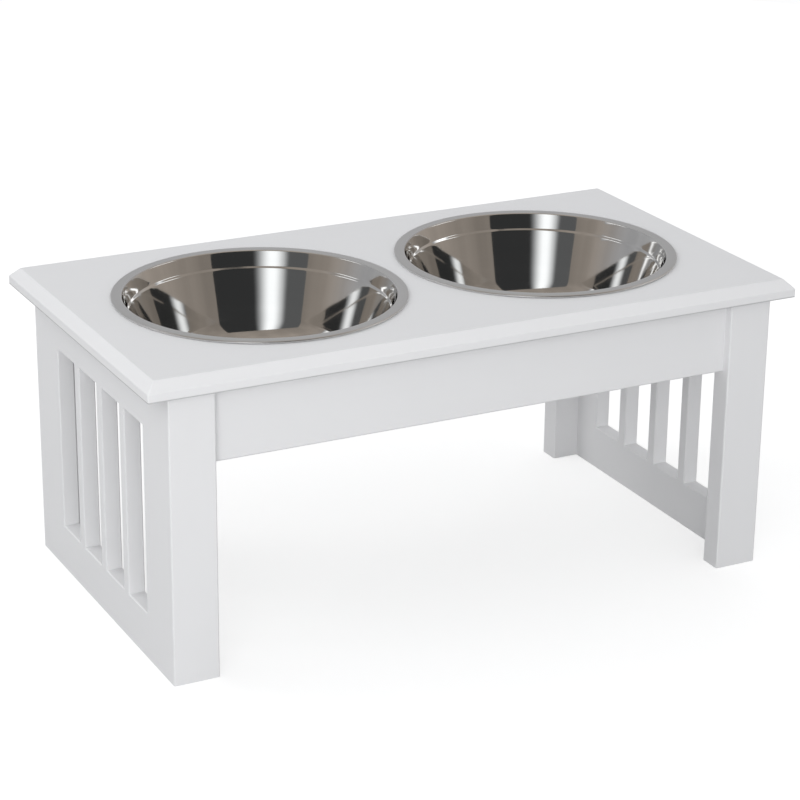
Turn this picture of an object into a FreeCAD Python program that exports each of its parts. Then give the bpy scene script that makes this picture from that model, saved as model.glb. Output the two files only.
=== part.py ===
import FreeCAD, Part
import math
import os

# A raised dog feeding station: a bevelled tabletop on two slatted end frames, with two drop-in bowls.
# Lengths are in millimetres. +X runs along the table, -Y is its front and +Z is up.
# The origin is on the floor, under the middle of the tabletop.

Vector = FreeCAD.Vector
X_AXIS = Vector(1, 0, 0)
Y_AXIS = Vector(0, 1, 0)
Z_AXIS = Vector(0, 0, 1)
SAME_POINT = 1e-6

# Bowls: spun steel with a hemmed flat flange, a drawn-in collar, a step and a tapered wall
bowl_rim_diameter = 244.0
bowl_flange_width = 9.0
bowl_depth = 82.0
bowl_sheet = 0.6
bowl_hem_height = 2.2
bowl_hem_width = 4.0
bowl_lip_radius = 1.5
bowl_collar_depth = 13.0
bowl_collar_draft = 4.3
bowl_step = 1.2
bowl_step_height = 1.7
bowl_step_radius = 1.6
bowl_base_diameter = 169.0
bowl_base_radius = 36.0

# Tabletop: its length and depth are the bowls' rims with a gap and margins of board round them
rim_gap = 16.0
end_margin = 40.0
front_margin = 36.0
board_thickness = 15.0
edge_bevel = 8.0
edge_rounding = 1.2
cutout_clearance = 1.2
cutout_easing = 1.0

# End frames: posts at the corners, stiles, rails and slats between them
table_height = 258.0
end_overhang = 19.0
front_overhang = 8.0
post_width = 39.0
post_thickness = 21.0
post_rounding = 1.5
panel_thickness = 14.0
stile_width = 33.5
top_rail_height = 42.0
bottom_rail_height = 40.0
slat_count = 3
slat_width = 11.0
slot_easing = 0.8

# Aprons, between the posts under the tabletop's front and back edges
apron_height = 63.0
apron_thickness = 13.0
apron_setback = 8.0
apron_rounding = 1.5

# Joinery
tenon_length = 8.0
tenon_shoulder = 3.0
mortise_clearance = 0.15
dowel_diameter = 6.0
dowel_length = 20.0
dowel_chamfer = 0.8
dowel_clearance = 0.1
dowel_inset = 12.0
blind_end_gap = 0.5
cam_diameter = 12.0
cam_skin = 3.0
cam_clearance = 0.15
cam_slot_width = 1.6
cam_slot_depth = 1.2
bolt_reach = 24.0
bolt_thread_diameter = 6.0
bolt_thread_length = 10.0
bolt_thread_clearance = 0.05
bolt_shank_diameter = 5.0
bolt_neck_diameter = 3.6
bolt_neck_length = 3.0
bolt_head_diameter = 6.0
bolt_head_length = 3.0
bolt_clearance = 0.2

# Places that follow from the sizes above
bowl_rim_radius = bowl_rim_diameter / 2
bowl_wall_radius = bowl_rim_radius - bowl_flange_width
cutout_radius = bowl_wall_radius + bowl_sheet + cutout_clearance
bowl_x = bowl_rim_radius + rim_gap / 2
half_length = bowl_x + bowl_rim_radius + end_margin
half_depth = bowl_rim_radius + front_margin
board_underside = table_height - board_thickness
post_outer_x = half_length - end_overhang
post_inner_x = post_outer_x - post_width
post_outer_y = half_depth - front_overhang
post_inner_y = post_outer_y - post_thickness
panel_inner_x = post_outer_x - panel_thickness
panel_middle_x = post_outer_x - panel_thickness / 2
window_half = post_inner_y - stile_width
window_bottom = bottom_rail_height
window_top = board_underside - top_rail_height
slot_width = (2 * window_half - slat_count * slat_width) / (slat_count + 1)
slat_pitch = slot_width + slat_width
apron_outer_y = post_outer_y - apron_setback
apron_inner_y = apron_outer_y - apron_thickness
apron_middle_y = (apron_outer_y + apron_inner_y) / 2
apron_bottom = board_underside - apron_height
apron_middle_z = (apron_bottom + board_underside) / 2
board_cam_y = window_half - slot_width / 2

ENDS = {"left": -1, "right": 1}
ROWS = {"front": -1, "back": 1}


def block(xs, ys, zs):
    """A box between two values along each axis, given in either order."""
    low = Vector(min(xs), min(ys), min(zs))
    return Part.makeBox(max(xs) - low.x, max(ys) - low.y, max(zs) - low.z, low)


def rounded(shape, radius, chosen):
    """The shape with a fillet on each straight edge whose middle and direction are chosen."""
    edges = [edge for edge in shape.Edges if chosen(edge.CenterOfMass, edge.tangentAt(edge.FirstParameter))]
    return shape.makeFillet(radius, edges)


def is_along(direction, axis):
    return abs(direction.dot(axis)) > 0.99


def corner_arc(before, corner, after, radius):
    """The tangent arc of this radius that rounds a corner of a path, as start, middle and end points."""
    towards = (corner - before).normalize()
    away = (after - corner).normalize()
    turn = towards.getAngle(away)
    reach = radius * math.tan(turn / 2)
    inwards = (away - towards).normalize()
    middle = corner + inwards * (radius / math.cos(turn / 2) - radius)
    return corner - towards * reach, middle, corner + away * reach


def rounded_path(points, radii):
    """Edges along a path of points, with an arc at each inner point and a line between arcs that don't meet."""
    edges = []
    start = points[0]
    for before, corner, after, radius in zip(points, points[1:], points[2:], radii):
        arc_start, arc_middle, arc_end = corner_arc(before, corner, after, radius)
        if not start.isEqual(arc_start, SAME_POINT):
            edges.append(Part.LineSegment(start, arc_start).toShape())
        edges.append(Part.Arc(arc_start, arc_middle, arc_end).toShape())
        start = arc_end
    edges.append(Part.LineSegment(start, points[-1]).toShape())
    return edges


def left_of(direction):
    """The normal to the left of a direction in the XZ plane, seen with X to the right and Z up."""
    return Vector(-direction.z, 0, direction.x)


def turned_sheet(corners, sheet):
    """A sheet of even thickness, to the left of a path of (radius, height, corner radius), turned about Z."""
    face_points = [Vector(radius, 0, height) for radius, height, _ in corners]
    face_radii = [corner_radius for _, _, corner_radius in corners[1:-1]]
    runs = [(after - before).normalize() for before, after in zip(face_points, face_points[1:])]
    back_points = [face_points[0] + left_of(runs[0]) * sheet]
    back_radii = []
    for point, radius, run, next_run in zip(face_points[1:], face_radii, runs, runs[1:]):
        turns_left = left_of(run).dot(next_run) > 0
        back_radii.append(radius - sheet if turns_left else radius + sheet)
        bisector = (left_of(run) + left_of(next_run)).normalize()
        back_points.append(point + bisector * (sheet / bisector.dot(left_of(run))))
    back_points.append(face_points[-1] + left_of(runs[-1]) * sheet)
    edges = rounded_path(face_points, face_radii) + rounded_path(back_points, back_radii)
    edges.append(Part.LineSegment(face_points[0], back_points[0]).toShape())
    edges.append(Part.LineSegment(face_points[-1], back_points[-1]).toShape())
    section = Part.Face(Part.Wire(Part.sortEdges(edges)[0]))
    return section.revolve(Vector(0, 0, 0), Z_AXIS, 360)


def bowl(end):
    """One bowl, its hem resting on the tabletop."""
    hem_radius = bowl_hem_height / 2
    floor_height = bowl_hem_height - bowl_depth
    collar_bottom = bowl_hem_height - bowl_collar_depth
    collar_radius = bowl_wall_radius - bowl_collar_draft
    shell = turned_sheet(
        [
            (bowl_rim_radius - bowl_hem_width, 0, 0),
            (bowl_rim_radius, 0, hem_radius),
            (bowl_rim_radius, bowl_hem_height, hem_radius),
            (bowl_wall_radius, bowl_hem_height, bowl_lip_radius),
            (collar_radius, collar_bottom, bowl_step_radius),
            (collar_radius - bowl_step, collar_bottom - bowl_step_height, bowl_step_radius),
            (bowl_base_diameter / 2, floor_height, bowl_base_radius),
            (0, floor_height, 0),
        ],
        bowl_sheet,
    )
    shell.translate(Vector(end * bowl_x, 0, table_height))
    return shell


def rod(diameter, length, start, direction):
    return Part.makeCylinder(diameter / 2, length, start, direction)


def dowel(middle, axis):
    """A dowel with chamfered ends, centred on the joint between two pieces."""
    pin = rod(dowel_diameter, dowel_length, middle - axis * (dowel_length / 2), axis)
    ends = [edge for edge in pin.Edges if edge.Curve.TypeId == "Part::GeomCircle"]
    return pin.makeChamfer(dowel_chamfer, ends)


def dowel_hole(middle, axis):
    length = dowel_length + 2 * blind_end_gap
    return rod(dowel_diameter + 2 * dowel_clearance, length, middle - axis * (length / 2), axis)


def cam_bolt(seat, axis):
    """A bolt screwed in at its seat on the joint's face, whose head reaches along the axis into a cam."""
    head_start = bolt_reach - bolt_head_length / 2
    neck_start = head_start - bolt_neck_length
    pieces = [
        rod(bolt_thread_diameter, bolt_thread_length, seat - axis * bolt_thread_length, axis),
        rod(bolt_shank_diameter, neck_start, seat, axis),
        rod(bolt_neck_diameter, bolt_neck_length, seat + axis * neck_start, axis),
        rod(bolt_head_diameter, bolt_head_length, seat + axis * head_start, axis),
    ]
    return pieces[0].fuse(pieces[1:])


def cam_bolt_holes(seat, axis):
    """The threaded hole behind the seat and the clearance hole in front of it."""
    thread_depth = bolt_thread_length + blind_end_gap
    thread_diameter = bolt_thread_diameter + 2 * bolt_thread_clearance
    thread = rod(thread_diameter, thread_depth, seat - axis * thread_depth, axis)
    passage = rod(bolt_head_diameter + 2 * bolt_clearance, bolt_reach, seat, axis)
    return thread, passage


def cam_height(thickness):
    return thickness - cam_skin - blind_end_gap


def cam_lock(seat, axis, opening, thickness):
    """A round cam round a bolt's head. The opening is the way out of the board to the screwdriver's side."""
    centre = seat + axis * bolt_reach
    face = centre + opening * (thickness / 2)
    height = cam_height(thickness)
    body = rod(cam_diameter, height, face - opening * height, opening)
    across = axis.cross(opening)
    channel_width = bolt_head_diameter + 2 * bolt_clearance
    channel_top = channel_width / 2
    channel = oriented_box(
        centre - axis * cam_diameter - across * (channel_width / 2) - opening * height,
        (axis, cam_diameter + channel_width / 2),
        (across, channel_width),
        (opening, height + channel_top),
    )
    driver_slots = [
        oriented_box(
            face - opening * cam_slot_depth - along * (cam_diameter / 4) - aside * (cam_slot_width / 2),
            (along, cam_diameter / 2),
            (aside, cam_slot_width),
            (opening, 2 * cam_slot_depth),
        )
        for along, aside in ((axis, across), (across, axis))
    ]
    return body.cut([channel] + driver_slots)


def cam_bore(seat, axis, opening, thickness):
    face = seat + axis * bolt_reach + opening * (thickness / 2)
    depth = cam_height(thickness) + blind_end_gap
    return rod(cam_diameter + 2 * cam_clearance, depth, face - opening * depth, opening)


def oriented_box(corner, *sides):
    """A box from a corner along three square directions, each given as (direction, length)."""
    steps = [direction * length for direction, length in sides]
    base = [corner, corner + steps[0], corner + steps[0] + steps[1], corner + steps[1], corner]
    return Part.Face(Part.makePolygon(base)).extrude(steps[2])


def slots():
    """The low and high Y of each gap beside a slat, from the front."""
    lows = [-window_half + number * slat_pitch for number in range(slat_count + 1)]
    return [(low, low + slot_width) for low in lows]


def slot_easings(end):
    """Cutters that ease the edges of each slot at both faces of an end frame."""

    def ring(x, y_low, y_high, growth):
        ys = (y_low - growth, y_high + growth)
        zs = (window_bottom - growth, window_top + growth)
        corner_ys = (ys[0], ys[1], ys[1], ys[0])
        corner_zs = (zs[0], zs[0], zs[1], zs[1])
        corners = [Vector(x, y, z) for y, z in zip(corner_ys, corner_zs)]
        return Part.makePolygon(corners + corners[:1])

    cutters = []
    for y_low, y_high in slots():
        for face_x, outwards in ((post_outer_x, 1), (panel_inner_x, -1)):
            deep = ring(end * (face_x - outwards * slot_easing), y_low, y_high, 0)
            wide = ring(end * (face_x + outwards * slot_easing), y_low, y_high, 2 * slot_easing)
            cutters.append(Part.makeLoft([deep, wide], True, True))
    return cutters


def rail_spans():
    """The low and high Z of each rail."""
    return {"top": (window_top, board_underside), "bottom": (0, window_bottom)}


def rail_dowel_places(end, row, rail):
    """Middles of the two dowels between a rail and the stile at one of its ends."""
    low, high = rail_spans()[rail]
    heights = (low + dowel_inset, high - dowel_inset)
    return [Vector(end * panel_middle_x, row * window_half, z) for z in heights]


def post_dowel_places(end, row):
    """Middles of the dowels between a stile and its post: level with each rail and halfway between them."""
    heights = [(low + high) / 2 for low, high in rail_spans().values()] + [(window_bottom + window_top) / 2]
    return [Vector(end * panel_middle_x, row * post_inner_y, z) for z in heights]


def apron_dowel_places(end, row):
    heights = (apron_bottom + dowel_inset, board_underside - dowel_inset)
    return [Vector(end * post_inner_x, row * apron_middle_y, z) for z in heights]


def apron_board_dowel_places(row):
    return [Vector(end * bowl_x, row * apron_middle_y, board_underside) for end in ENDS.values()]


def rail_board_dowel_place(end):
    return Vector(end * panel_middle_x, 0, board_underside)


def apron_bolt_seat(end, row):
    return Vector(end * post_inner_x, row * apron_middle_y, apron_middle_z)


def board_bolt_seats(end):
    return [Vector(end * panel_middle_x, row * board_cam_y, board_underside) for row in ROWS.values()]


def tabletop():
    board = block((-half_length, half_length), (-half_depth, half_depth), (board_underside, table_height))
    top_edges = [edge for edge in board.Edges if abs(edge.CenterOfMass.z - table_height) < edge_rounding]
    board = board.makeChamfer(edge_bevel, top_edges)
    board = rounded(board, edge_rounding, lambda middle, _: middle.z > board_underside + edge_rounding)
    cutters = []
    for end in ENDS.values():
        centre = Vector(end * bowl_x, 0, board_underside)
        cutters.append(rod(2 * cutout_radius, board_thickness, centre, Z_AXIS))
        eased = Vector(end * bowl_x, 0, table_height - cutout_easing)
        eased_radius = cutout_radius + cutout_easing
        cutters.append(Part.makeCone(cutout_radius, eased_radius, cutout_easing, eased, Z_AXIS))
        cutters.append(dowel_hole(rail_board_dowel_place(end), Z_AXIS))
        cutters += [cam_bolt_holes(seat, -Z_AXIS)[0] for seat in board_bolt_seats(end)]
    for row in ROWS.values():
        cutters += [dowel_hole(place, Z_AXIS) for place in apron_board_dowel_places(row)]
    return board.cut(cutters)


def post(end, row):
    """A corner post, softened on its three upright edges that stay bare."""
    xs = (end * post_inner_x, end * post_outer_x)
    ys = (row * post_inner_y, row * post_outer_y)
    body = block(xs, ys, (0, board_underside))
    joint = Vector(end * post_outer_x, row * post_inner_y, board_underside / 2)
    body = rounded(
        body,
        post_rounding,
        lambda middle, direction: is_along(direction, Z_AXIS) and not middle.isEqual(joint, post_rounding),
    )
    cutters = [dowel_hole(place, Y_AXIS) for place in post_dowel_places(end, row)]
    cutters += [dowel_hole(place, X_AXIS) for place in apron_dowel_places(end, row)]
    cutters.append(cam_bolt_holes(apron_bolt_seat(end, row), -end * X_AXIS)[0])
    return body.cut(cutters)


def stile(end, row):
    xs = (end * panel_inner_x, end * post_outer_x)
    body = block(xs, (row * window_half, row * post_inner_y), (0, board_underside))
    cutters = [dowel_hole(place, Y_AXIS) for place in post_dowel_places(end, row)]
    for rail_name in rail_spans():
        cutters += [dowel_hole(place, Y_AXIS) for place in rail_dowel_places(end, row, rail_name)]
    return body.cut(cutters + slot_easings(end))


def tenon(end, middle_y, zs, growth):
    """The tongue at one end of a slat, or with growth the mortise that takes it."""
    inset = tenon_shoulder - growth
    xs = (end * (panel_inner_x + inset), end * (post_outer_x - inset))
    reach = slat_width / 2 - inset
    return block(xs, (middle_y - reach, middle_y + reach), zs)


def slat_middles():
    return [low - slat_width / 2 for low, _ in slots()[1:]]


def slat(end, middle_y):
    xs = (end * panel_inner_x, end * post_outer_x)
    body = block(xs, (middle_y - slat_width / 2, middle_y + slat_width / 2), (window_bottom, window_top))
    body = body.cut(slot_easings(end))
    tongue = tenon(end, middle_y, (window_bottom - tenon_length, window_top + tenon_length), 0)
    return body.fuse(tongue).removeSplitter()


def rail(end, rail_name):
    xs = (end * panel_inner_x, end * post_outer_x)
    body = block(xs, (-window_half, window_half), rail_spans()[rail_name])
    mortise_depth = tenon_length + blind_end_gap
    mortise_zs = (window_bottom - mortise_depth, window_top + mortise_depth)
    cutters = [tenon(end, middle_y, mortise_zs, mortise_clearance) for middle_y in slat_middles()]
    for row in ROWS.values():
        cutters += [dowel_hole(place, Y_AXIS) for place in rail_dowel_places(end, row, rail_name)]
    if rail_name == "top":
        cutters.append(dowel_hole(rail_board_dowel_place(end), Z_AXIS))
        for seat in board_bolt_seats(end):
            cutters.append(cam_bolt_holes(seat, -Z_AXIS)[1])
            cutters.append(cam_bore(seat, -Z_AXIS, -end * X_AXIS, panel_thickness))
    return body.cut(cutters + slot_easings(end))


def apron(row):
    """An apron, softened along its two lower edges."""
    ys = (row * apron_inner_y, row * apron_outer_y)
    body = block((-post_inner_x, post_inner_x), ys, (apron_bottom, board_underside))
    body = rounded(
        body,
        apron_rounding,
        lambda middle, direction: is_along(direction, X_AXIS) and middle.z < apron_middle_z,
    )
    cutters = [dowel_hole(place, Z_AXIS) for place in apron_board_dowel_places(row)]
    for end in ENDS.values():
        cutters += [dowel_hole(place, X_AXIS) for place in apron_dowel_places(end, row)]
        seat = apron_bolt_seat(end, row)
        cutters.append(cam_bolt_holes(seat, -end * X_AXIS)[1])
        cutters.append(cam_bore(seat, -end * X_AXIS, -row * Y_AXIS, apron_thickness))
    return body.cut(cutters)


def fasteners():
    """The hidden joinery, one group of like solids to a node."""
    groups = {
        "rail_dowels": [],
        "post_dowels": [],
        "apron_dowels": [],
        "board_dowels": [],
        "apron_cam_bolts": [],
        "apron_cam_locks": [],
        "board_cam_bolts": [],
        "board_cam_locks": [],
    }
    for end in ENDS.values():
        inwards = -end * X_AXIS
        for row in ROWS.values():
            for rail_name in rail_spans():
                places = rail_dowel_places(end, row, rail_name)
                groups["rail_dowels"] += [dowel(place, Y_AXIS) for place in places]
            groups["post_dowels"] += [dowel(place, Y_AXIS) for place in post_dowel_places(end, row)]
            groups["apron_dowels"] += [dowel(place, X_AXIS) for place in apron_dowel_places(end, row)]
            seat = apron_bolt_seat(end, row)
            groups["apron_cam_bolts"].append(cam_bolt(seat, inwards))
            groups["apron_cam_locks"].append(cam_lock(seat, inwards, -row * Y_AXIS, apron_thickness))
        groups["board_dowels"].append(dowel(rail_board_dowel_place(end), Z_AXIS))
        for seat in board_bolt_seats(end):
            groups["board_cam_bolts"].append(cam_bolt(seat, -Z_AXIS))
            groups["board_cam_locks"].append(cam_lock(seat, -Z_AXIS, inwards, panel_thickness))
    for row in ROWS.values():
        groups["board_dowels"] += [dowel(place, Z_AXIS) for place in apron_board_dowel_places(row)]
    return {name: Part.makeCompound(solids) for name, solids in groups.items()}


def build():
    """Every node of the feeding station by name."""
    nodes = {"tabletop": tabletop()}
    for row_name, row in ROWS.items():
        nodes[f"{row_name}_apron"] = apron(row)
    for end_name, end in ENDS.items():
        nodes[f"{end_name}_bowl"] = bowl(end)
        for row_name, row in ROWS.items():
            nodes[f"{end_name}_{row_name}_post"] = post(end, row)
            nodes[f"{end_name}_{row_name}_stile"] = stile(end, row)
        for rail_name in rail_spans():
            nodes[f"{end_name}_{rail_name}_rail"] = rail(end, rail_name)
        for number, middle_y in enumerate(slat_middles(), 1):
            nodes[f"{end_name}_slat_{number}"] = slat(end, middle_y)
    nodes.update(fasteners())
    return nodes


def main():
    os.makedirs("parts", exist_ok=True)
    for name, shape in build().items():
        shape.exportStep(f"parts/{name}.step")
        print(name, len(shape.Solids), "valid" if shape.isValid() else "INVALID", round(shape.Volume))


main()
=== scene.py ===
import math

import bmesh
import bpy
from bpy.props import FloatProperty, FloatVectorProperty, IntProperty, PointerProperty
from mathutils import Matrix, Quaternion, Vector


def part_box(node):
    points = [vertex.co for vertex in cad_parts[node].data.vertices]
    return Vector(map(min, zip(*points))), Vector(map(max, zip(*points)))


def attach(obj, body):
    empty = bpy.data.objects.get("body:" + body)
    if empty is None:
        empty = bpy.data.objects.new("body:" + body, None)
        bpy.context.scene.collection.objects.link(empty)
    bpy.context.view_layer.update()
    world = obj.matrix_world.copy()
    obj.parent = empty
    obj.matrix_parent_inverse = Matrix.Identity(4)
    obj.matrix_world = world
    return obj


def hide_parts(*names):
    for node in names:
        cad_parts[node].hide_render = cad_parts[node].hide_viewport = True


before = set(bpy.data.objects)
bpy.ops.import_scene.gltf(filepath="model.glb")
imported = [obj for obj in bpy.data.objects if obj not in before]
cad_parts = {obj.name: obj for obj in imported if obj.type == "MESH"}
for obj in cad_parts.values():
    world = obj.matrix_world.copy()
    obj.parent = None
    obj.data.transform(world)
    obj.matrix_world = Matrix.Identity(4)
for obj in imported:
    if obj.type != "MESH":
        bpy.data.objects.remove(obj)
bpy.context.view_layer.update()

bl_info = {
    "name": "Raised Feeding Station",
    "version": (1, 0, 0),
    "blender": (4, 5, 0),
    "location": "View3D > Sidebar > Feeder",
    "description": "Paints the boards of a raised feeding table, spins its steel bowls and lights it in a studio",
    "category": "Object",
}

BOWL_LOW, BOWL_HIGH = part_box("right_bowl")
BOARD_LOW, BOARD_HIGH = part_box("tabletop")
BOWL_CENTRE_X = (BOWL_LOW.x + BOWL_HIGH.x) / 2
BOWL_SHEET = 0.0006
BOARD_BEVEL = 0.008
THIN_PAINT_WIDTH = 0.0022
# Core and width of the painted shade line, a painted shadow along the tabletop's lower edge under its overhang.
SHADE_LINE_CORE = 0.0003
SHADE_LINE_WIDTH = 0.0013
HEM_ROUNDING_SHARE = 0.499
LONGEST_PLAIN_EDGE = 0.003
SECTION_SPACING = 0.0025
SAME_POINT = 0.000002
LEANING = 0.05
FLOOR_HALF_WIDTH = 9.0
FLOOR_GLOW = 0.62
ROOM_RADIUS = 7.0
PANEL_EDGE_LEVEL = 0.34
PANEL_LEVEL = 1.5
PANEL_BOTTOM, PANEL_TOP = 1.00, 1.70
LIGHTS_AIM = Vector((0.0, 0.0, 0.13))
SOFTBOXES = {
    "front": ((-0.80, -2.00, 0.80), 1.6),
    "side": ((-1.40, -1.70, 0.50), 0.9),
    "back": ((-1.60, 1.20, 1.50), 1.2),
    "rear": ((1.70, 1.60, 0.45), 1.2),
}


def length(label, description, default):
    return FloatProperty(
        name=label, description=description, default=default, min=0.0, unit="LENGTH", subtype="DISTANCE"
    )


def colour(label, description, default):
    return FloatVectorProperty(
        name=label, description=description, default=default, size=3, min=0.0, max=1.0, subtype="COLOR"
    )


def amount(label, description, default):
    return FloatProperty(name=label, description=description, default=default, min=0.0, max=1.0, subtype="FACTOR")


def power(label, description, default):
    return FloatProperty(name=label, description=description, default=default, min=0.0, unit="POWER")


class FEEDER_PG_bowls(bpy.types.PropertyGroup):
    rim_radius: length("Rim radius", "From the bowl's axis to the rolled edge", (BOWL_HIGH.x - BOWL_LOW.x) / 2)
    rim_height: length("Rim height", "Height of the flange's upper face above the floor", BOWL_HIGH.z)
    depth: length("Depth", "From the flange down to the bowl's floor", BOWL_HIGH.z - BOWL_LOW.z - BOWL_SHEET)
    sheet: length("Sheet", "Thickness of the steel", BOWL_SHEET)
    flange_width: length("Flange width", "Width of the flat rim", 0.009)
    hem_height: length("Hem height", "Height of the rolled edge", 0.0022)
    hem_width: length("Hem width", "How far the edge is folded back under the flange", 0.004)
    lip_rounding: length("Lip rounding", "Radius between the flange and the collar", 0.0015)
    collar_depth: length("Collar depth", "From the flange down to the step", 0.013)
    collar_draft: length("Collar draft", "How far the collar draws in towards the step", 0.0043)
    step_width: length("Step width", "How far the step draws in", 0.0012)
    step_height: length("Step height", "Height of the step", 0.0017)
    step_rounding: length("Step rounding", "Radius at both edges of the step", 0.0016)
    base_radius: length("Base radius", "From the axis to the corner of wall and floor", 0.0845)
    base_rounding: length("Base rounding", "Radius between the wall and the floor", 0.036)
    turns: IntProperty(name="Turns", description="Steps of the spin round the axis", default=192, min=24, max=360)


class FEEDER_PG_finishes(bpy.types.PropertyGroup):
    paint: colour("Paint", "Satin paint on all boards", (0.80, 0.80, 0.81))
    paint_roughness: amount("Paint roughness", "Sheen of the satin paint", 0.42)
    steel: colour("Steel", "Stainless steel of the bowls", (0.76, 0.758, 0.752))
    polish_roughness: amount("Polish", "Roughness of the bowls' polished inside", 0.04)
    satin_roughness: amount("Satin", "Roughness of the brushed flange and outside", 0.28)
    beech: colour("Beech", "Bare wood of the dowels", (0.62, 0.44, 0.27))
    zinc: colour("Zinc", "Cast metal of the cams and bolts", (0.58, 0.59, 0.61))


class FEEDER_PG_stage(bpy.types.PropertyGroup):
    camera_place: FloatVectorProperty(
        name="Camera place",
        description="Where the camera stands",
        default=(-0.9293, -1.8009, 0.9212),
        subtype="TRANSLATION",
        unit="LENGTH",
    )
    camera_aim: FloatVectorProperty(
        name="Camera aim",
        description="The point in the middle of the picture",
        default=(0.0556, 0.1072, 0.0973),
        subtype="TRANSLATION",
        unit="LENGTH",
    )
    camera_roll: FloatProperty(
        name="Camera roll", description="Turn about the line of sight", default=math.radians(0.65), subtype="ANGLE"
    )
    camera_lens: FloatProperty(
        name="Lens", description="Focal length on a 36 mm frame", default=113.8, unit="CAMERA"
    )
    floor: colour("Floor", "Pale studio floor", (0.50, 0.50, 0.50))
    front_power: power("Front light", "Power of the front softbox", 11.0)
    side_power: power("Side light", "Power of the low softbox", 9.0)
    back_power: power("Back light", "Power of the high softbox", 11.0)
    rear_power: power("Rear light", "Power of the rear softbox", 9.0)
    fill: amount("Fill light", "Level of the even light from all round", 0.71)
    room: colour("Room", "Front of the room that the steel mirrors", (0.362, 0.318, 0.277))
    room_back: colour("Back of the room", "Back of the room that the flanges mirror", (0.325, 0.325, 0.33))


class Signal:
    """The value of a socket in a finish. Arithmetic on it adds Math nodes."""

    def __init__(self, finish, socket):
        self.finish = finish
        self.socket = socket

    def math(self, operation, *others):
        inputs = dict(enumerate((self,) + others))
        return self.finish.node("ShaderNodeMath", {"operation": operation}, inputs)

    def __add__(self, other):
        return self.math("ADD", other)

    __radd__ = __add__

    def __sub__(self, other):
        return self.math("SUBTRACT", other)

    def __rsub__(self, other):
        return self.finish.node("ShaderNodeMath", {"operation": "SUBTRACT"}, {0: other, 1: self})

    def __mul__(self, other):
        return self.math("MULTIPLY", other)

    def __pow__(self, other):
        return self.math("POWER", other)

    def __abs__(self):
        return self.math("ABSOLUTE")


class Finish:
    """A material, or the world, whose nodes are added one by one."""

    def __init__(self, tree):
        self.tree = tree
        self.tree.nodes.clear()

    @classmethod
    def material(cls, name):
        made = bpy.data.materials.new(name)
        made.use_nodes = True
        finish = cls(made.node_tree)
        finish.data = made
        return finish

    def node(self, kind, settings=None, inputs=None, output=0):
        """Adds a node, sets it, fills its sockets and gives one of its outputs."""
        added = self.tree.nodes.new(kind)
        for name, value in (settings or {}).items():
            setattr(added, name, value)
        for name, value in (inputs or {}).items():
            if isinstance(value, Signal):
                self.tree.links.new(value.socket, added.inputs[name])
            else:
                added.inputs[name].default_value = value
        return Signal(self, added.outputs[output]) if added.outputs else None

    def place(self):
        """The Object coordinates and their three parts."""
        point = self.node("ShaderNodeTexCoord", output="Object")
        parts = [self.node("ShaderNodeSeparateXYZ", inputs={0: point}, output=axis) for axis in "XYZ"]
        return point, parts

    def stretched(self, point, scale):
        return self.node("ShaderNodeVectorMath", {"operation": "MULTIPLY"}, {0: point, 1: scale})

    def noise(self, point, scale, detail=2.0, roughness=0.5):
        inputs = {"Vector": point, "Scale": scale, "Detail": detail, "Roughness": roughness}
        return self.node("ShaderNodeTexNoise", inputs=inputs)

    def lines(self, along, scale, detail=2.0):
        """Noise that changes along one value only."""
        return self.node(
            "ShaderNodeTexNoise", {"noise_dimensions": "1D"}, {"W": along, "Scale": scale, "Detail": detail}
        )

    def ease(self, value, low, high, start=0.0, end=1.0):
        return self.node(
            "ShaderNodeMapRange",
            {"interpolation_type": "SMOOTHSTEP"},
            {"Value": value, "From Min": low, "From Max": high, "To Min": start, "To Max": end},
        )

    def blend(self, factor, first, second):
        return self.node(
            "ShaderNodeMix",
            {"data_type": "RGBA"},
            {0: factor, 6: self.shade(first), 7: self.shade(second)},
            output=2,
        )

    @staticmethod
    def shade(value):
        return value if isinstance(value, Signal) else (*value, 1.0)

    def bump(self, height, distance, below=None):
        inputs = {"Height": height, "Distance": distance, "Strength": 1.0}
        if below:
            inputs["Normal"] = below
        return self.node("ShaderNodeBump", inputs=inputs)

    def surface(self, **sockets):
        """Ends the material in a Principled shader. Names are sockets in lower case with underscores."""
        inputs = {name.replace("_", " ").title(): value for name, value in sockets.items()}
        shader = self.node("ShaderNodeBsdfPrincipled", inputs=inputs)
        self.node("ShaderNodeOutputMaterial", inputs={"Surface": shader})
        return self.data


def scaled(shade, factor):
    return tuple(min(1.0, part * factor) for part in shade)


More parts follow.
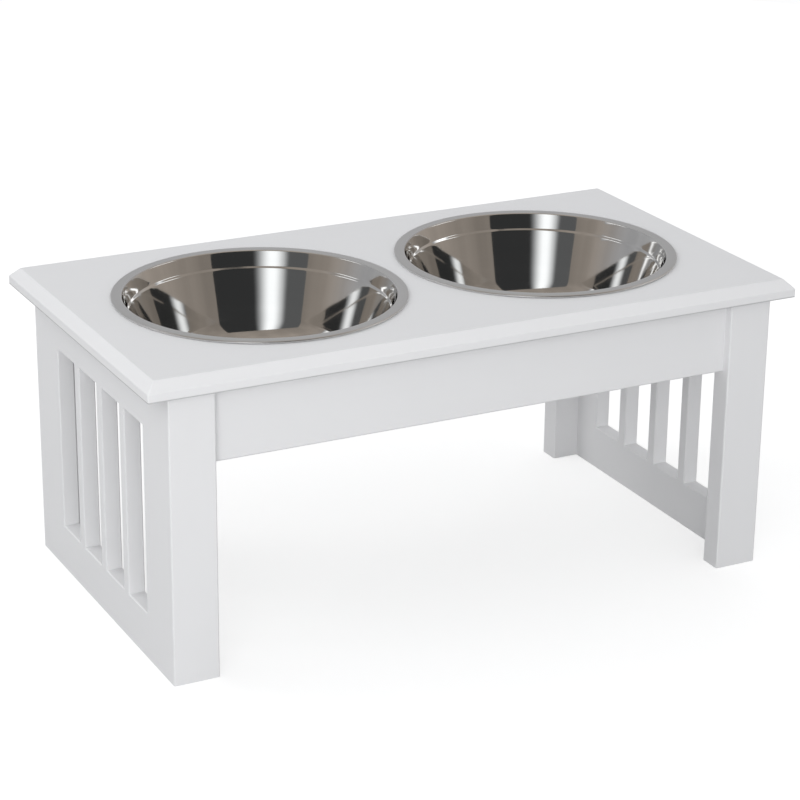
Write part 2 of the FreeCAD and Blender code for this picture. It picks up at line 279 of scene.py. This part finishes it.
def painted(name, low, high, arris=None, shaded_edge=None):
    """Satin white paint on one board. From the coordinates' parts, arris gives the distance to a softened edge,
    where the paint is thin, and the shaded-edge function gives the distance to a sharp edge, along which the paint
    is darkened: a painted shade line that stands in for the shadow under an overhang."""
    settings = bpy.context.scene.feeder_finishes
    finish = Finish.material(name)
    point, parts = finish.place()
    size = high - low
    grain_axis = max(range(3), key=lambda axis: size[axis])
    across_grain, along_grain = 150.0, 5.0
    grain_scale = [along_grain if axis == grain_axis else across_grain for axis in range(3)]
    grain = finish.noise(finish.stretched(point, grain_scale), 1.0, 3.0)
    stipple = finish.noise(point, 900.0, 3.0, 0.6)
    cloud = finish.noise(point, 14.0, 2.0)
    paint = tuple(settings.paint)
    tint = cloud * 0.6 + grain * 0.4
    base = finish.blend(tint, scaled(paint, 0.985), scaled(paint, 1.015))
    rough = settings.paint_roughness - 0.05 + stipple * 0.06 + cloud * 0.04
    if arris:
        edge = finish.ease(arris(*parts), 0.0, THIN_PAINT_WIDTH, 1.0, 0.0)
        worn = edge * finish.ease(finish.noise(point, 60.0, 3.0), 0.35, 0.7)
        base = finish.blend(worn * 0.35, base, scaled(paint, 0.94))
        rough = rough - worn * 0.10
    # Painted shade: the base colour darkens towards 0.3 of the paint within a millimetre of the sharp edge, as a
    # painted shadow under the overhang.
    if shaded_edge:
        painted_shade = finish.ease(shaded_edge(*parts), SHADE_LINE_CORE, SHADE_LINE_WIDTH, 0.6, 0.0)
        base = finish.blend(painted_shade, base, scaled(paint, 0.3))
    skin = finish.bump(grain * 0.5 + cloud, 0.00012)
    skin = finish.bump(stipple, 0.00003, below=skin)
    return finish.surface(base_color=base, roughness=rough, normal=skin)


def dress(names, make):
    """Gives each CAD node its own finish."""
    if not names:
        raise RuntimeError("the frame has none of these nodes")
    for name in names:
        low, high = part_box(name)
        finish = make(name, low, high)
        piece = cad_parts[name]
        piece.data.materials.clear()
        piece.data.materials.append(finish)


def nodes_ending(*endings):
    return sorted(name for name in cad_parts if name.endswith(endings))


class FEEDER_OT_tabletop(bpy.types.Operator):
    """Paint the tabletop, thinner along its routed edge, with a painted shade line along its lower edge"""

    bl_idname = "feeder.tabletop"
    bl_label = "Paint Tabletop"

    def execute(self, context):
        def arris(x, y, z):
            inset = (abs(x) - (BOARD_HIGH.x - BOARD_BEVEL)).math("MAXIMUM", abs(y) - (BOARD_HIGH.y - BOARD_BEVEL))
            return abs(inset)

        # Distance to the board's lower edge, where the paint is darkened as a painted shadow under the overhang.
        def lower_edge(x, y, z):
            inset = (BOARD_HIGH.x - abs(x)).math("MINIMUM", BOARD_HIGH.y - abs(y))
            return inset.math("MAXIMUM", z - BOARD_LOW.z)

        dress(["tabletop"], lambda name, low, high: painted("paint_" + name, low, high, arris, lower_edge))
        return {"FINISHED"}


class FEEDER_OT_aprons(bpy.types.Operator):
    """Paint the two aprons under the tabletop"""

    bl_idname = "feeder.aprons"
    bl_label = "Paint Aprons"

    def execute(self, context):
        def make(name, low, high):
            middle = (low.y + high.y) / 2
            half = (high.y - low.y) / 2

            def arris(x, y, z):
                return abs(abs(y - middle) - half).math("MAXIMUM", z - low.z)

            return painted("paint_" + name, low, high, arris)

        dress(nodes_ending("_apron"), make)
        return {"FINISHED"}


class FEEDER_OT_end_frames(bpy.types.Operator):
    """Paint the posts, stiles, rails and slats of both end frames"""

    bl_idname = "feeder.end_frames"
    bl_label = "Paint End Frames"

    def execute(self, context):
        def make_post(name, low, high):
            middle = (low.x + high.x) / 2
            half = (high.x - low.x) / 2
            outer = max(low.y, high.y, key=abs)

            def arris(x, y, z):
                return abs(abs(x - middle) - half).math("MAXIMUM", abs(y - outer))

            return painted("paint_" + name, low, high, arris)

        dress(nodes_ending("_post"), make_post)
        flush = nodes_ending("_stile", "_rail") + sorted(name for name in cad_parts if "_slat_" in name)
        dress(flush, lambda name, low, high: painted("paint_" + name, low, high))
        return {"FINISHED"}


class FEEDER_OT_dowels(bpy.types.Operator):
    """Give the dowels bare beech"""

    bl_idname = "feeder.dowels"
    bl_label = "Finish Dowels"

    def execute(self, context):
        settings = context.scene.feeder_finishes
        finish = Finish.material("beech")
        point, _ = finish.place()
        flecks = finish.noise(finish.stretched(point, (900.0, 900.0, 900.0)), 1.0, 4.0, 0.65)
        bands = finish.noise(point, 120.0, 3.0)
        beech = tuple(settings.beech)
        base = finish.blend(bands * 0.6 + flecks * 0.4, scaled(beech, 0.78), scaled(beech, 1.12))
        made = finish.surface(base_color=base, roughness=0.58 + flecks * 0.2, normal=finish.bump(flecks, 0.0001))
        dress(nodes_ending("_dowels"), lambda *_: made)
        return {"FINISHED"}


class FEEDER_OT_cam_fittings(bpy.types.Operator):
    """Give the cams and their bolts cast zinc"""

    bl_idname = "feeder.cam_fittings"
    bl_label = "Finish Cam Fittings"

    def execute(self, context):
        settings = context.scene.feeder_finishes
        finish = Finish.material("cast_zinc")
        point, _ = finish.place()
        grain = finish.noise(point, 1400.0, 3.0, 0.6)
        bloom = finish.noise(point, 180.0, 2.0)
        zinc = tuple(settings.zinc)
        base = finish.blend(bloom, scaled(zinc, 0.86), scaled(zinc, 1.06))
        rough = 0.30 + grain * 0.12 + bloom * 0.12
        made = finish.surface(base_color=base, metallic=1.0, roughness=rough, normal=finish.bump(grain, 0.00004))
        dress(nodes_ending("_cam_bolts", "_cam_locks"), lambda *_: made)
        return {"FINISHED"}


def steel(name, flange_start=None):
    """Stainless steel with the rings that spinning leaves, satin all over or polished inside the flange."""
    settings = bpy.context.scene.feeder_finishes
    finish = Finish.material(name)
    point, (x, y, z) = finish.place()
    aside = abs(x) - BOWL_CENTRE_X
    radius = (aside * aside + y * y) ** 0.5
    along = radius - z
    rings = finish.lines(along, 1500.0, 3.0)
    bands = finish.lines(along, 160.0, 2.0)
    smudge = finish.noise(point, 40.0, 3.0)
    shade = tuple(settings.steel)
    base = finish.blend(bands * 0.5 + smudge * 0.5, scaled(shade, 0.96), scaled(shade, 1.04))
    if flange_start is None:
        rough = settings.satin_roughness - 0.04 + rings * 0.08
        normal = finish.bump(rings, 0.000006)
    else:
        flange = finish.ease(radius, flange_start - 0.0006, flange_start + 0.0006)
        polish = settings.polish_roughness + bands * 0.02 + smudge * 0.02
        rough = polish + flange * (settings.satin_roughness - polish + rings * 0.08)
        wave = finish.noise(finish.stretched(point, (1.0, 1.0, 1.6)), 26.0, 1.0)
        normal = finish.bump(wave, 0.00008)
        normal = finish.bump(rings, 0.0000006, below=normal)
        normal = finish.bump(rings * flange, 0.000004, below=normal)
    return finish.surface(base_color=base, metallic=1.0, roughness=rough, normal=normal)


def round_corner(bm, corner, radius, segments):
    """Rounds one corner of a line of edges with a vertex bevel."""
    before, after = (edge.other_vert(corner).co - corner.co for edge in corner.link_edges)
    reach = radius / math.tan(before.angle(after) / 2)
    bmesh.ops.bevel(
        bm,
        geom=[corner],
        offset=reach,
        offset_type="OFFSET",
        segments=segments,
        profile=0.5,
        affect="VERTICES",
        material=-1,
        clamp_overlap=False,
    )


def spun_bowl(name, centre_x, settings):
    """A bowl's mesh: its section, rounded, spun about the bowl's axis and given the sheet's thickness."""
    wall_radius = settings.rim_radius - settings.flange_width
    collar_radius = wall_radius - settings.collar_draft
    collar_bottom = settings.rim_height - settings.collar_depth
    hem_bottom = settings.rim_height - settings.hem_height
    floor_height = settings.rim_height - settings.depth
    hem = settings.hem_height * HEM_ROUNDING_SHARE
    corners = [
        (settings.rim_radius - settings.hem_width, hem_bottom, 0.0, 0),
        (settings.rim_radius, hem_bottom, hem, 6),
        (settings.rim_radius, settings.rim_height, hem, 6),
        (wall_radius, settings.rim_height, settings.lip_rounding, 12),
        (collar_radius, collar_bottom, settings.step_rounding, 4),
        (collar_radius - settings.step_width, collar_bottom - settings.step_height, settings.step_rounding, 4),
        (settings.base_radius, floor_height, settings.base_rounding, 20),
        (0.0, floor_height, 0.0, 0),
    ]
    bm = bmesh.new()
    section = [bm.verts.new((radius, 0.0, height)) for radius, height, _, _ in corners]
    for start, end in zip(section, section[1:]):
        bm.edges.new((start, end))
    for corner, (_, _, rounding, segments) in zip(section, corners):
        if segments:
            round_corner(bm, corner, rounding, segments)
    for edge in [edge for edge in bm.edges if edge.calc_length() > LONGEST_PLAIN_EDGE]:
        bmesh.ops.bisect_edges(bm, edges=[edge], cuts=max(2, round(edge.calc_length() / SECTION_SPACING)))
    bmesh.ops.spin(
        bm,
        geom=bm.verts[:] + bm.edges[:],
        cent=(0.0, 0.0, 0.0),
        axis=(0.0, 0.0, 1.0),
        dvec=(0.0, 0.0, 0.0),
        angle=2 * math.pi,
        steps=settings.turns,
        use_merge=True,
        use_duplicate=False,
    )
    bmesh.ops.remove_doubles(bm, verts=bm.verts, dist=SAME_POINT)
    bmesh.ops.recalc_face_normals(bm, faces=bm.faces)
    floor_face = min(bm.faces, key=lambda face: face.calc_center_median().to_2d().length)
    if floor_face.normal.z < 0:
        bmesh.ops.reverse_faces(bm, faces=bm.faces)
    bmesh.ops.solidify(bm, geom=bm.faces[:], thickness=settings.sheet)
    bm.normal_update()
    for face in bm.faces:
        face.smooth = True
        outwards = face.calc_center_median().to_2d()
        towards_rim = face.normal.to_2d().dot(outwards.normalized()) if outwards.length else 0.0
        face.material_index = 0 if face.normal.z > LEANING or towards_rim < -LEANING else 1
    bmesh.ops.translate(bm, verts=bm.verts, vec=(centre_x, 0.0, 0.0))
    mesh = bpy.data.meshes.new(name)
    bm.to_mesh(mesh)
    bm.free()
    return mesh


class FEEDER_OT_bowls(bpy.types.Operator):
    """Spin the two steel bowls that hang in the tabletop"""

    bl_idname = "feeder.bowls"
    bl_label = "Spin Bowls"

    def execute(self, context):
        settings = context.scene.feeder_bowls
        inside = steel("polished_steel", settings.rim_radius - settings.flange_width)
        outside = steel("satin_steel")
        for end, side in (("left", -1), ("right", 1)):
            mesh = spun_bowl(end + "_spun_bowl", side * BOWL_CENTRE_X, settings)
            mesh.materials.append(inside)
            mesh.materials.append(outside)
            bowl = bpy.data.objects.new(end + "_spun_bowl", mesh)
            context.scene.collection.objects.link(bowl)
            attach(bowl, end + "_bowl")
            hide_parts(end + "_bowl")
        return {"FINISHED"}


def staged(name, bm, finish):
    """A stage object from a bmesh."""
    mesh = bpy.data.meshes.new(name)
    bm.to_mesh(mesh)
    bm.free()
    mesh.materials.append(finish)
    made = bpy.data.objects.new(name, mesh)
    bpy.context.scene.collection.objects.link(made)
    return made


def mirrored_only(made):
    """Leaves a stage object to reflections alone."""
    made.visible_camera = False
    made.visible_diffuse = False
    made.visible_transmission = False
    made.visible_volume_scatter = False
    made.visible_shadow = False


def card(name, start, end, bottom, top, finish):
    """An upright card between two points of the floor plan."""
    bm = bmesh.new()
    ends = [bm.verts.new((*point, bottom)) for point in (start, end)]
    edge = bm.edges.new(ends)
    raised = bmesh.ops.extrude_edge_only(bm, edges=[edge])
    verts = [part for part in raised["geom"] if isinstance(part, bmesh.types.BMVert)]
    bmesh.ops.translate(bm, verts=verts, vec=(0.0, 0.0, top - bottom))
    made = staged(name, bm, finish)
    mirrored_only(made)
    return made


class FEEDER_OT_stage(bpy.types.Operator):
    """Set up the floor, the studio that the steel mirrors, the lights and the camera"""

    bl_idname = "feeder.stage"
    bl_label = "Set Up Stage"

    def execute(self, context):
        settings = context.scene.feeder_stage
        self.lay_floor(settings)
        self.hang_room(settings)
        self.light(context.scene, settings)
        self.aim_camera(context.scene, settings)
        context.scene.view_settings.view_transform = "Standard"
        return {"FINISHED"}

    def lay_floor(self, settings):
        finish = Finish.material("studio_floor")
        pale = finish.node("ShaderNodeBsdfDiffuse", inputs={"Color": finish.shade(settings.floor)})
        seen = finish.node("ShaderNodeLightPath", output="Is Camera Ray")
        white = finish.node("ShaderNodeEmission", inputs={"Strength": seen * FLOOR_GLOW})
        both = finish.node("ShaderNodeAddShader", inputs={0: pale, 1: white})
        finish.node("ShaderNodeOutputMaterial", inputs={"Surface": both})
        bm = bmesh.new()
        bmesh.ops.create_grid(bm, x_segments=1, y_segments=1, size=FLOOR_HALF_WIDTH)
        staged("studio_floor", bm, finish.data)

    def hang_room(self, settings):
        bm = bmesh.new()
        radius = ROOM_RADIUS
        bmesh.ops.create_icosphere(bm, subdivisions=4, radius=radius)
        walls = Finish.material("room_walls")
        point, (x, y, z) = walls.place()
        slope = 1.0 + y * (0.38 / radius) + x * (0.10 / radius)
        ceiling = walls.ease(z, 0.57 * radius, 0.98 * radius, 1.0, 1.17)
        level = slope * ceiling * (0.70 + walls.noise(point, 0.55, 2.0) * 0.60)
        tint = walls.blend(walls.ease(y, -0.1 * radius, 0.6 * radius), settings.room, settings.room_back)
        shader = walls.node("ShaderNodeEmission", inputs={"Color": tint, "Strength": level})
        walls.node("ShaderNodeOutputMaterial", inputs={"Surface": shader})
        mirrored_only(staged("studio_room", bm, walls.data))
        dark = Finish.material("dark_card")
        _, (x, y, z) = dark.place()
        strip = dark.ease(x, -2.39, -1.55) * dark.ease(x, -1.45, -0.75, 1.0, 0.0)
        far = dark.ease(x, -2.07, -1.87, 0.112, 0.036)
        shader = dark.node(
            "ShaderNodeEmission", inputs={"Color": (0.97, 0.99, 1.0, 1.0), "Strength": far + strip * 1.3}
        )
        dark.node("ShaderNodeOutputMaterial", inputs={"Surface": shader})
        card("front_card", (0.654, -2.16), (-4.05, -1.65), -0.2, 2.75, dark.data)
        self.hang_panel("right_panel", (2.00, -1.55), (2.52, -0.10))
        self.hang_panel("left_panel", (-2.52, 0.30), (-2.05, 1.50))

    def hang_panel(self, name, start, end):
        """A bright panel with soft edges beside the table."""
        finish = Finish.material(name)
        _, (x, y, z) = finish.place()
        middle = (Vector(start) + Vector(end)) / 2
        half = (Vector(end) - Vector(start)) / 2
        unit = half / half.length_squared
        along = (x - middle.x) * unit.x + (y - middle.y) * unit.y
        rise = (z - (PANEL_TOP + PANEL_BOTTOM) / 2) * (2.0 / (PANEL_TOP - PANEL_BOTTOM))
        glow = finish.ease(abs(along), 0.5, 1.0, 1.0, 0.0) * finish.ease(abs(rise), 0.5, 1.0, 1.0, 0.0)
        shader = finish.node("ShaderNodeEmission", inputs={"Strength": PANEL_EDGE_LEVEL + glow * PANEL_LEVEL})
        finish.node("ShaderNodeOutputMaterial", inputs={"Surface": shader})
        card(name, start, end, PANEL_BOTTOM, PANEL_TOP, finish.data)

    def stand_softbox(self, scene, name, place, size, power):
        lamp = bpy.data.lights.new(name, "AREA")
        lamp.shape = "SQUARE"
        lamp.size = size
        lamp.energy = power
        box = bpy.data.objects.new(name, lamp)
        box.location = place
        box.rotation_mode = "QUATERNION"
        box.rotation_quaternion = (LIGHTS_AIM - box.location).to_track_quat("-Z", "Y")
        box.visible_glossy = False
        scene.collection.objects.link(box)

    def light(self, scene, settings):
        for side, (place, size) in SOFTBOXES.items():
            self.stand_softbox(scene, side + "_softbox", place, size, getattr(settings, side + "_power"))
        scene.world = bpy.data.worlds.new("studio_world")
        scene.world.use_nodes = True
        finish = Finish(scene.world.node_tree)
        paths = finish.node("ShaderNodeLightPath", output="Is Camera Ray")
        for ray in ("Is Glossy Ray", "Is Transmission Ray"):
            paths = paths + finish.node("ShaderNodeLightPath", output=ray)
        even = finish.node(
            "ShaderNodeBackground", inputs={"Color": (0.98, 0.99, 1.0, 1.0), "Strength": settings.fill}
        )
        white = finish.node("ShaderNodeBackground", inputs={"Color": (1.0, 1.0, 1.0, 1.0), "Strength": 1.0})
        shader = finish.node("ShaderNodeMixShader", inputs={0: paths, 1: even, 2: white})
        finish.node("ShaderNodeOutputWorld", inputs={"Surface": shader})

    def aim_camera(self, scene, settings):
        data = bpy.data.cameras.new("photo_camera")
        data.lens = settings.camera_lens
        data.sensor_width = 36.0
        data.clip_end = 60.0
        camera = bpy.data.objects.new("photo_camera", data)
        place = Vector(settings.camera_place)
        camera.location = place
        camera.rotation_mode = "QUATERNION"
        aim = (Vector(settings.camera_aim) - place).to_track_quat("-Z", "Y")
        camera.rotation_quaternion = aim @ Quaternion((0.0, 0.0, 1.0), settings.camera_roll)
        scene.collection.objects.link(camera)
        scene.camera = camera


OPERATORS = (
    FEEDER_OT_tabletop,
    FEEDER_OT_aprons,
    FEEDER_OT_end_frames,
    FEEDER_OT_dowels,
    FEEDER_OT_cam_fittings,
    FEEDER_OT_bowls,
    FEEDER_OT_stage,
)
SETTINGS = {
    "feeder_bowls": FEEDER_PG_bowls,
    "feeder_finishes": FEEDER_PG_finishes,
    "feeder_stage": FEEDER_PG_stage,
}


class FEEDER_PT_sidebar(bpy.types.Panel):
    bl_idname = "FEEDER_PT_sidebar"
    bl_label = "Feeding Station"
    bl_space_type = "VIEW_3D"
    bl_region_type = "UI"
    bl_category = "Feeder"

    def draw(self, context):
        for operator in OPERATORS:
            self.layout.operator(operator.bl_idname)
        for name in SETTINGS:
            group = getattr(context.scene, name)
            box = self.layout.box()
            for setting in group.bl_rna.properties:
                if setting.identifier not in {"rna_type", "name"}:
                    box.prop(group, setting.identifier)


def register():
    for group in SETTINGS.values():
        bpy.utils.register_class(group)
    for operator in OPERATORS:
        bpy.utils.register_class(operator)
    bpy.utils.register_class(FEEDER_PT_sidebar)
    for name, group in SETTINGS.items():
        setattr(bpy.types.Scene, name, PointerProperty(type=group))


def unregister():
    for name in SETTINGS:
        delattr(bpy.types.Scene, name)
    bpy.utils.unregister_class(FEEDER_PT_sidebar)
    for operator in reversed(OPERATORS):
        bpy.utils.unregister_class(operator)
    for group in reversed(SETTINGS.values()):
        bpy.utils.unregister_class(group)


def main():
    register()
    bpy.ops.feeder.tabletop()
    bpy.ops.feeder.aprons()
    bpy.ops.feeder.end_frames()
    bpy.ops.feeder.dowels()
    bpy.ops.feeder.cam_fittings()
    bpy.ops.feeder.bowls()
    bpy.ops.feeder.stage()


if __name__ == "__main__":
    main()
